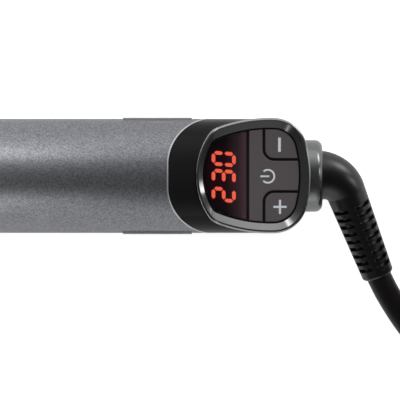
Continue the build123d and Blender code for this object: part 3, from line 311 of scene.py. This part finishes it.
def surface_group(name, pattern, bump_height, grow):
    """A shader group of a surface with a pattern in Object coordinates.

    Colour runs from Colour to Tint, Roughness is Rough plus a share of Rough Change, and Normal is
    a bump of strength Relief. grow wires the pattern, sized by the input that pattern names, and
    gives the three masks for these.
    """
    group = bpy.data.node_groups.new(name, "ShaderNodeTree")
    for way, kind, sockets in (("OUTPUT", "Color", ["Colour"]), ("OUTPUT", "Float", ["Roughness"]),
                               ("OUTPUT", "Vector", ["Normal"]),
                               ("INPUT", "Color", ["Colour", "Tint"]),
                               ("INPUT", "Float", ["Rough", "Rough Change", pattern, "Relief"])):
        for socket in sockets:
            group.interface.new_socket(name=socket, in_out=way, socket_type="NodeSocket" + kind)
    make, link = group.nodes.new, group.links.new
    given, out = make("NodeGroupInput").outputs, make("NodeGroupOutput").inputs
    where = make("ShaderNodeTexCoord").outputs["Object"]
    tone, change, height = grow(make, link, where, given[pattern])
    blend, rougher, bump = (make("ShaderNode" + kind) for kind in ("Mix", "Math", "Bump"))
    blend.data_type = "RGBA"
    rougher.operation = "MULTIPLY_ADD"
    bump.inputs["Distance"].default_value = bump_height
    for source, socket in ((tone, blend.inputs["Factor"]), (given["Colour"], blend.inputs[6]),
                           (given["Tint"], blend.inputs[7]), (blend.outputs[2], out["Colour"]),
                           (change, rougher.inputs[0]), (given["Rough Change"], rougher.inputs[1]),
                           (given["Rough"], rougher.inputs[2]),
                           (rougher.outputs[0], out["Roughness"]),
                           (height, bump.inputs["Height"]),
                           (given["Relief"], bump.inputs["Strength"]),
                           (bump.outputs["Normal"], out["Normal"])):
        link(source, socket)
    return group


def moulded_grain(make, link, where, grain_scale):
    """A moulded surface: fine grain in the roughness and relief, a slow drift in the colour."""
    drift, grain = make("ShaderNodeTexNoise"), make("ShaderNodeTexNoise")
    drift.inputs["Scale"].default_value = 60.0
    drift.inputs["Detail"].default_value = 3.0
    link(where, drift.inputs["Vector"])
    link(where, grain.inputs["Vector"])
    link(grain_scale, grain.inputs["Scale"])
    return drift.outputs["Fac"], grain.outputs["Fac"], grain.outputs["Fac"]


moulded = surface_group("moulded_surface", "Grain", 0.0001, moulded_grain)


def finish_with(group, name, own=None, **inputs):
    """A material whose colour, roughness and relief come from a surface group with these inputs.

    own holds values for the shader's own sockets.
    """
    material, shader = principled(name, **(own or {}))
    node = material.node_tree.nodes.new("ShaderNodeGroup")
    node.node_tree = group
    for socket, value in inputs.items():
        kind = node.inputs[socket.replace("_", " ")]
        kind.default_value = (*value, 1) if kind.type == "RGBA" else value
    feeds = {"Colour": "Base Color", "Roughness": "Roughness", "Normal": "Normal"}
    for mask, socket in feeds.items():
        material.node_tree.links.new(node.outputs[mask], shader.inputs[socket])
    return material


def dress(material, *names):
    """Give CAD nodes or new pieces this material."""
    for name in names:
        piece = nodes.get(name) or bpy.data.objects[name]
        piece.data.materials.clear()
        piece.data.materials.append(material)


cord_sheath = finish_with(moulded, "cord_sheath", {"Specular_IOR_Level": 0.45},
                          Colour=(0.0040, 0.0028, 0.0034), Tint=(0.0075, 0.0052, 0.0062),
                          Rough=0.34, Rough_Change=0.08, Grain=1500.0, Relief=0.03)
cord_curve.materials.append(cord_sheath)
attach(cord, "cord_swivel")
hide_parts("cord_lead", "cord_hank", "cord_tail")

# ---------------------------------------------------------------- cord boot
# A one-piece rubber elbow that guards the cord where it leaves the handle, moulded over the cord.
# Its straight half has slots in four rows, cut to a core, with a plain spine between the rows.
slot_count = 9
slot_pitch = 2.42
slot_width = 1.0
slot_depth = 1.35
slot_first = 17.6
slot_edge, row_edge = 0.12, radians(5)
row_half, rows = radians(30), np.radians([43, 137, 223, 317])
lip_length, lip_depth = 0.8, 0.55
rings, spokes = 330, 144
boot_d, boot_bent_d, boot_tip_d = 15.1, 11.8, 9.5
crease = radians(40)

s = np.linspace(0, boot_length, rings)[:, None]
# phi 0 points up out of the panel and phi = 90 degrees points to the elbow's inside
phi = np.linspace(0, 2 * pi, spokes, endpoint=False)[None, :]
place, heading, bend = boot_line(s[:, 0])
past = np.clip(s - boot_stub - boot_bend_r * boot_turn, 0, None) / boot_straight
boot_r = (boot_d + (boot_bent_d - boot_d) * bend[:, None] / boot_turn
          + (boot_tip_d - boot_bent_d) * past) / 2
step = (s - slot_first) / slot_pitch
in_row = (step > -0.5) & (step < slot_count - 0.5)
from_slot = np.abs(step - np.round(step)) * slot_pitch
cut = np.clip((slot_width / 2 - from_slot) / slot_edge + 0.5, 0, 1) * in_row
from_row = np.abs(np.angle(np.exp(1j * (phi[..., None] - rows)))).min(-1)
within = np.clip((row_half - from_row) / row_edge + 0.5, 0, 1)
lip = np.clip((s - boot_length + lip_length) / lip_length, 0, 1)
skin = boot_r - slot_depth * cut * within - lip_depth * lip ** 2
upright = np.array((0, -sin(boot_droop), cos(boot_droop)))
inward = np.cross(upright, heading)
boot_points = (place[:, None, :] + skin[..., None] * (np.cos(phi)[..., None] * upright
               - np.sin(phi)[..., None] * inward[:, None, :]))


def tube_mesh(name, grid):
    """A tube from a grid of points, rings by spokes, each end closed by a fan on its middle."""
    count, around = grid.shape[:2]
    ring = np.arange(count - 1)[:, None] * around
    spoke = np.arange(around)[None, :]
    after = (spoke + 1) % around
    faces = np.stack([ring + spoke, ring + around + spoke, ring + around + after, ring + after], -1)
    faces = faces.reshape(-1, 4).tolist()
    corners = np.concatenate([grid.reshape(-1, 3), [grid[0].mean(0), grid[-1].mean(0)]])
    first, last = len(corners) - 2, len(corners) - 1
    end_ring = (count - 1) * around
    faces += [(first, int(a), int(b)) for a, b in zip(spoke[0], after[0])]
    faces += [(last, int(end_ring + b), int(end_ring + a)) for a, b in zip(spoke[0], after[0])]
    mesh = bpy.data.meshes.new(name)
    mesh.from_pydata((corners * mm).tolist(), [], faces)
    mesh.validate()
    piece = bpy.data.objects.new(name, mesh)
    bpy.context.scene.collection.objects.link(piece)
    return piece


def face_out(piece):
    """Turn every face outwards and shade it smooth."""
    bpy.ops.object.select_all(action="DESELECT")
    bpy.context.view_layer.objects.active = piece
    piece.select_set(True)
    bpy.ops.object.mode_set(mode="EDIT")
    bpy.ops.mesh.select_all(action="SELECT")
    bpy.ops.mesh.normals_make_consistent(inside=False)
    bpy.ops.object.mode_set(mode="OBJECT")
    bpy.ops.object.shade_smooth_by_angle(angle=crease)
    piece.select_set(False)


boot = tube_mesh("slotted_boot", boot_points)
face_out(boot)
boot_rubber = finish_with(moulded, "boot_rubber", {"Specular_IOR_Level": 0.9},
                          Colour=(0.0016, 0.0009, 0.0014), Tint=(0.0034, 0.0021, 0.0029),
                          Rough=0.27, Rough_Change=0.10, Grain=2600.0, Relief=0.06)
dress(boot_rubber, "slotted_boot")
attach(boot, "cord_swivel")
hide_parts("cord_boot")

# ---------------------------------------------------------------- tie and plug
# A flat rubber band holds the hank's waist. The flat two-pin plug is moulded in one piece on the
# cord; its pins are nickel-plated brass, half of each in a plastic sleeve.
tie_rubber = finish_with(moulded, "tie_rubber", Colour=(0.03, 0.03, 0.032),
                         Tint=(0.045, 0.045, 0.046), Rough=0.55, Rough_Change=0.15,
                         Grain=3000.0, Relief=0.08)
dress(tie_rubber, "cord_tie")
plug_plastic = finish_with(moulded, "plug_plastic", Colour=(0.020, 0.020, 0.021),
                           Tint=(0.030, 0.029, 0.030), Rough=0.38, Rough_Change=0.12,
                           Grain=2400.0, Relief=0.07)
dress(plug_plastic, "plug_body", "plug_pin_sleeves")


def drawn_streaks(make, link, where, streak_scale):
    """A drawn metal: long streaks along X in the roughness and relief, slight patches of tone."""
    stretch = make("ShaderNodeMapping")
    stretch.inputs["Scale"].default_value = (60.0, 4000.0, 4000.0)
    streak, drift = make("ShaderNodeTexNoise"), make("ShaderNodeTexNoise")
    drift.inputs["Scale"].default_value = 120.0
    link(where, stretch.inputs["Vector"])
    link(stretch.outputs["Vector"], streak.inputs["Vector"])
    link(streak_scale, streak.inputs["Scale"])
    link(where, drift.inputs["Vector"])
    return drift.outputs["Fac"], streak.outputs["Fac"], streak.outputs["Fac"]


brushed = surface_group("brushed_metal", "Streaks", 0.00005, drawn_streaks)
nickel = finish_with(brushed, "nickel_pins", {"Metallic": 1.0}, Colour=(0.68, 0.66, 0.62),
                     Tint=(0.6, 0.58, 0.54), Rough=0.22, Rough_Change=0.14, Streaks=1.0,
                     Relief=0.04)
dress(nickel, "plug_pins")

# ---------------------------------------------------------------- grip
# Two half shells of plastic, sprayed with a grey metallic paint that has a fine flake, screwed
# together from below. A rubber pad is let into each side, just ahead of the black end.


def flake_cells(make, link, where, flake_scale):
    """A metallic paint: each small cell has its own brightness, roughness and slight lean."""
    cells, split = make("ShaderNodeTexVoronoi"), make("ShaderNodeSeparateColor")
    link(where, cells.inputs["Vector"])
    link(flake_scale, cells.inputs["Scale"])
    link(cells.outputs["Color"], split.inputs[0])
    return split.outputs["Red"], split.outputs["Green"], split.outputs["Blue"]


flake = surface_group("metallic_flake", "Flake", 0.00005, flake_cells)
grip_paint = finish_with(flake, "grip_paint", {"Metallic": 0.9}, Colour=(0.208, 0.212, 0.226),
                         Tint=(0.405, 0.414, 0.440), Rough=0.36, Rough_Change=0.12,
                         Flake=3500.0, Relief=0.18)
dress(grip_paint, "handle_lower_shell", "handle_upper_shell")
pad_rubber = finish_with(moulded, "pad_rubber", Colour=(0.24, 0.24, 0.25),
                         Tint=(0.29, 0.29, 0.30), Rough=0.5, Rough_Change=0.15,
                         Grain=4000.0, Relief=0.1)
dress(pad_rubber, "side_grip_pads")
screw_steel = finish_with(brushed, "screw_steel", {"Metallic": 1.0}, Colour=(0.5, 0.5, 0.51),
                          Tint=(0.42, 0.42, 0.43), Rough=0.25, Rough_Change=0.15,
                          Streaks=1.0, Relief=0.05)
dress(screw_steel, "handle_screws", "board_screws")

# ---------------------------------------------------------------- black end of the handle
# A high-gloss black shell that carries the control pod, with a thin bright plated line where it
# meets the grey paint.
gloss_black = finish_with(moulded, "gloss_black", {"Specular_IOR_Level": 0.12},
                          Colour=(0.0095, 0.0095, 0.010), Tint=(0.0125, 0.0125, 0.013),
                          Rough=0.14, Rough_Change=0.03, Grain=900.0, Relief=0.01)
dress(gloss_black, "control_housing")
bright_trim = finish_with(brushed, "bright_trim", {"Metallic": 0.7}, Colour=(0.80, 0.80, 0.82),
                          Tint=(0.70, 0.70, 0.72), Rough=0.34, Rough_Change=0.08,
                          Streaks=0.6, Relief=0.02)
dress(bright_trim, "housing_trim")

# ---------------------------------------------------------------- control pod
# A polished dark-plated ring stands proud of the black end. Inside it lie a smoked lens over the
# figures and three satin keys with pale moulded symbols.
dark_plating = finish_with(moulded, "dark_plating", {"Metallic": 1.0}, Colour=(0.41, 0.41, 0.412),
                           Tint=(0.45, 0.45, 0.452), Rough=0.10, Rough_Change=0.04,
                           Grain=1200.0, Relief=0.01)
dress(dark_plating, "control_bezel")
pod_black = finish_with(moulded, "pod_black", Colour=(0.008, 0.008, 0.009),
                        Tint=(0.014, 0.014, 0.015), Rough=0.5, Rough_Change=0.1,
                        Grain=2000.0, Relief=0.05)
dress(pod_black, "button_frame")
key_plastic = finish_with(moulded, "key_plastic", {"Specular_IOR_Level": 0.4},
                          Colour=(0.088, 0.077, 0.079), Tint=(0.108, 0.095, 0.097),
                          Rough=0.42, Rough_Change=0.1, Grain=3500.0, Relief=0.08)
dress(key_plastic, "power_button", "minus_button", "plus_button")
symbol_white = finish_with(moulded, "symbol_white", Colour=(0.68, 0.72, 0.77),
                           Tint=(0.76, 0.80, 0.86), Rough=0.35, Rough_Change=0.1,
                           Grain=3000.0, Relief=0.02)
dress(symbol_white, "power_legend", "minus_legend", "plus_legend")

# ---------------------------------------------------------------- display
# A black module under the lens shows three lit figures; the unlit bars are as dark as the module.
# A painted red glow rings the lit bars; a painted reflection pales the smoked lens towards the
# keys.
bar_light = 1.75
painted_glow_light = 0.5
glow_per_m_x, glow_per_m_y = 150, 95
lit_red, lit_shader = principled("lit_red", (0.3, 0.03, 0.02))
lit_nodes, lit_links = lit_red.node_tree.nodes, lit_red.node_tree.links
spread = lit_nodes.new("ShaderNodeTexNoise")
spread.inputs["Scale"].default_value = 900.0
tone = lit_nodes.new("ShaderNodeValToRGB")
tone.color_ramp.elements[0].color = (1.0, 0.105, 0.055, 1)
tone.color_ramp.elements[1].color = (1.0, 0.155, 0.082, 1)
lit_where = lit_nodes.new("ShaderNodeTexCoord")
lit_links.new(lit_where.outputs["Object"], spread.inputs["Vector"])
lit_links.new(spread.outputs["Fac"], tone.inputs[0])
lit_links.new(tone.outputs[0], lit_shader.inputs["Emission Color"])
lit_shader.inputs["Emission Strength"].default_value = bar_light
dress(lit_red, "display_digits")

module_black = finish_with(moulded, "module_black", Colour=(0.002, 0.001, 0.002),
                           Tint=(0.004, 0.002, 0.004), Rough=0.4, Rough_Change=0.1,
                           Grain=1500.0, Relief=0.02)
module_nodes, module_links = module_black.node_tree.nodes, module_black.node_tree.links
module_shader = module_nodes["Principled BSDF"]
lit_low, lit_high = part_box("display_digits")
middle = module_nodes.new("ShaderNodeMapping")
middle.vector_type = "POINT"
middle.inputs["Location"].default_value = (-(lit_low.x + lit_high.x) / 2 * glow_per_m_x,
                                           -(lit_low.y + lit_high.y) / 2 * glow_per_m_y, 0)
middle.inputs["Scale"].default_value = (glow_per_m_x, glow_per_m_y, 0)
module_where = module_nodes.new("ShaderNodeTexCoord")
ball = module_nodes.new("ShaderNodeTexGradient")
ball.gradient_type = "SPHERICAL"
# a painted glow: the module's red emission fades out from the middle of the lit figures
painted_glow = module_nodes.new("ShaderNodeValToRGB")
painted_glow.color_ramp.elements[0].color = (0, 0, 0, 1)
painted_glow.color_ramp.elements[1].position = 0.75
painted_glow.color_ramp.elements[1].color = (0.05, 0.002, 0.003, 1)
module_links.new(module_where.outputs["Object"], middle.inputs["Vector"])
module_links.new(middle.outputs["Vector"], ball.inputs["Vector"])
module_links.new(ball.outputs["Fac"], painted_glow.inputs[0])
module_links.new(painted_glow.outputs[0], module_shader.inputs["Emission Color"])
module_shader.inputs["Emission Strength"].default_value = painted_glow_light
dress(module_black, "display_module", "display_dark_bars")

smoked = finish_with(moulded, "smoked_lens",
                     {"Coat_Weight": 0.2, "Coat_Roughness": 0.02, "Alpha": 0.32},
                     Rough=0.06, Rough_Change=0.02, Grain=800.0, Relief=0.01)
lens_nodes, lens_links = smoked.node_tree.nodes, smoked.node_tree.links
lens_low, lens_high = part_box("display_lens")
lens_where, lens_xyz = (lens_nodes.new("ShaderNode" + kind) for kind in ("TexCoord", "SeparateXYZ"))
# the lens colour is a painted reflection: black at the low-X end, growing pale pink towards the
# high-X end
lens_share, lens_painted_reflection = (lens_nodes.new("ShaderNode" + kind) for kind in ("MapRange", "ValToRGB"))
lens_share.inputs["From Min"].default_value = lens_low.x
lens_share.inputs["From Max"].default_value = lens_high.x
lens_painted_reflection.color_ramp.elements[0].color = (0.002, 0.001, 0.004, 1)
lens_painted_reflection.color_ramp.elements[1].color = (0.18, 0.10, 0.115, 1)
for share, reflection_tint in ((0.5, (0.007, 0.003, 0.007, 1)), (0.8, (0.070, 0.040, 0.048, 1))):
    lens_painted_reflection.color_ramp.elements.new(share).color = reflection_tint
lens_links.new(lens_where.outputs["Object"], lens_xyz.inputs[0])
lens_links.new(lens_xyz.outputs["X"], lens_share.inputs["Value"])
lens_links.new(lens_share.outputs[0], lens_painted_reflection.inputs[0])
lens_links.new(lens_painted_reflection.outputs[0], lens_nodes["Principled BSDF"].inputs["Base Color"])
dress(smoked, "display_lens")

# ---------------------------------------------------------------- cord collar
# A turned ring in gloss gunmetal paint closes the handle's end and keeps the swivel in. Behind it
# the swivel's journal turns in a pale plastic bush, and brass rings and brushes feed the current.
gunmetal = finish_with(flake, "gunmetal_paint",
                       {"Metallic": 0.9, "Coat_Weight": 0.4, "Coat_Roughness": 0.04},
                       Colour=(0.21, 0.215, 0.215), Tint=(0.27, 0.275, 0.275), Rough=0.20,
                       Rough_Change=0.05, Flake=5000.0, Relief=0.04)
dress(gunmetal, "cord_collar")
swivel_plastic = finish_with(moulded, "swivel_plastic", Colour=(0.55, 0.54, 0.5),
                             Tint=(0.62, 0.6, 0.56), Rough=0.4, Rough_Change=0.1,
                             Grain=1500.0, Relief=0.03)
dress(swivel_plastic, "swivel_bush")
dress(pod_black, "swivel_journal", "brush_holder")
brass = finish_with(brushed, "contact_brass", {"Metallic": 1.0}, Colour=(0.72, 0.52, 0.22),
                    Tint=(0.62, 0.44, 0.18), Rough=0.25, Rough_Change=0.12, Streaks=1.0,
                    Relief=0.03)
dress(brass, "slip_rings", "contact_brushes")

# ---------------------------------------------------------------- electronics in the grip
# Green boards with their parts, a ribbon up to the keys and red insulated leads. They are closed in
# and show only when the shells are off.
solder_mask = finish_with(moulded, "solder_mask", {"Coat_Weight": 0.3}, Colour=(0.02, 0.13, 0.05),
                          Tint=(0.03, 0.17, 0.07), Rough=0.3, Rough_Change=0.1,
                          Grain=700.0, Relief=0.05)
dress(solder_mask, "power_board", "control_board")
component_plastic = finish_with(moulded, "component_plastic", Colour=(0.06, 0.06, 0.07),
                                Tint=(0.10, 0.10, 0.11), Rough=0.4, Rough_Change=0.15,
                                Grain=1500.0, Relief=0.05)
dress(component_plastic, "power_components", "control_switches")
lead_red = finish_with(moulded, "lead_insulation", Colour=(0.42, 0.05, 0.03),
                       Tint=(0.5, 0.07, 0.04), Rough=0.4, Rough_Change=0.1,
                       Grain=1500.0, Relief=0.02)
dress(lead_red, "control_ribbon", "mains_leads", "heater_leads")

# ---------------------------------------------------------------- barrel and heater
# The barrel is an aluminium tube with a dark ceramic coat. A flat ceramic heater between two
# aluminium blocks fills it, and a bush keeps the heat from the plastic guard.
ceramic_coat = finish_with(flake, "ceramic_coat",
                           {"Metallic": 0.6, "Coat_Weight": 0.2, "Coat_Roughness": 0.15},
                           Colour=(0.075, 0.073, 0.077), Tint=(0.105, 0.102, 0.108), Rough=0.28,
                           Rough_Change=0.1, Flake=4200.0, Relief=0.05)
dress(ceramic_coat, "barrel_tube")
heat_plastic = finish_with(moulded, "heat_plastic", Colour=(0.020, 0.020, 0.021),
                           Tint=(0.030, 0.030, 0.031), Rough=0.36, Rough_Change=0.14,
                           Grain=2600.0, Relief=0.09)
dress(heat_plastic, "heat_guard", "cool_tip", "rest_foot")
dress(pad_rubber, "foot_pad")
heat_bush = finish_with(moulded, "heat_bush", Colour=(0.45, 0.40, 0.32), Tint=(0.52, 0.46, 0.38),
                        Rough=0.55, Rough_Change=0.15, Grain=1800.0, Relief=0.08)
dress(heat_bush, "barrel_bush", "ceramic_heater", "thermistor")
block_metal = finish_with(brushed, "block_metal", {"Metallic": 1.0}, Colour=(0.66, 0.66, 0.68),
                          Tint=(0.58, 0.58, 0.6), Rough=0.3, Rough_Change=0.15,
                          Streaks=1.0, Relief=0.06)
dress(block_metal, "heat_spreader_upper", "heat_spreader_lower", "thermal_fuse")

# ---------------------------------------------------------------- spring clamp
# A curved steel spoon with the barrel's dark coat lies along the barrel. It turns on a pin in a
# steel bracket, a coil spring on the pin keeps it shut, and a plastic thumb lever opens it.
dress(ceramic_coat, "clamp_spoon")
bracket_steel = finish_with(brushed, "bracket_steel", {"Metallic": 1.0}, Colour=(0.58, 0.58, 0.6),
                            Tint=(0.5, 0.5, 0.52), Rough=0.26, Rough_Change=0.16,
                            Streaks=1.0, Relief=0.05)
dress(bracket_steel, "clamp_bracket", "clamp_pin", "lever_rivet", "clamp_spring",
      "clamp_spring_leg")
dress(heat_plastic, "thumb_lever")
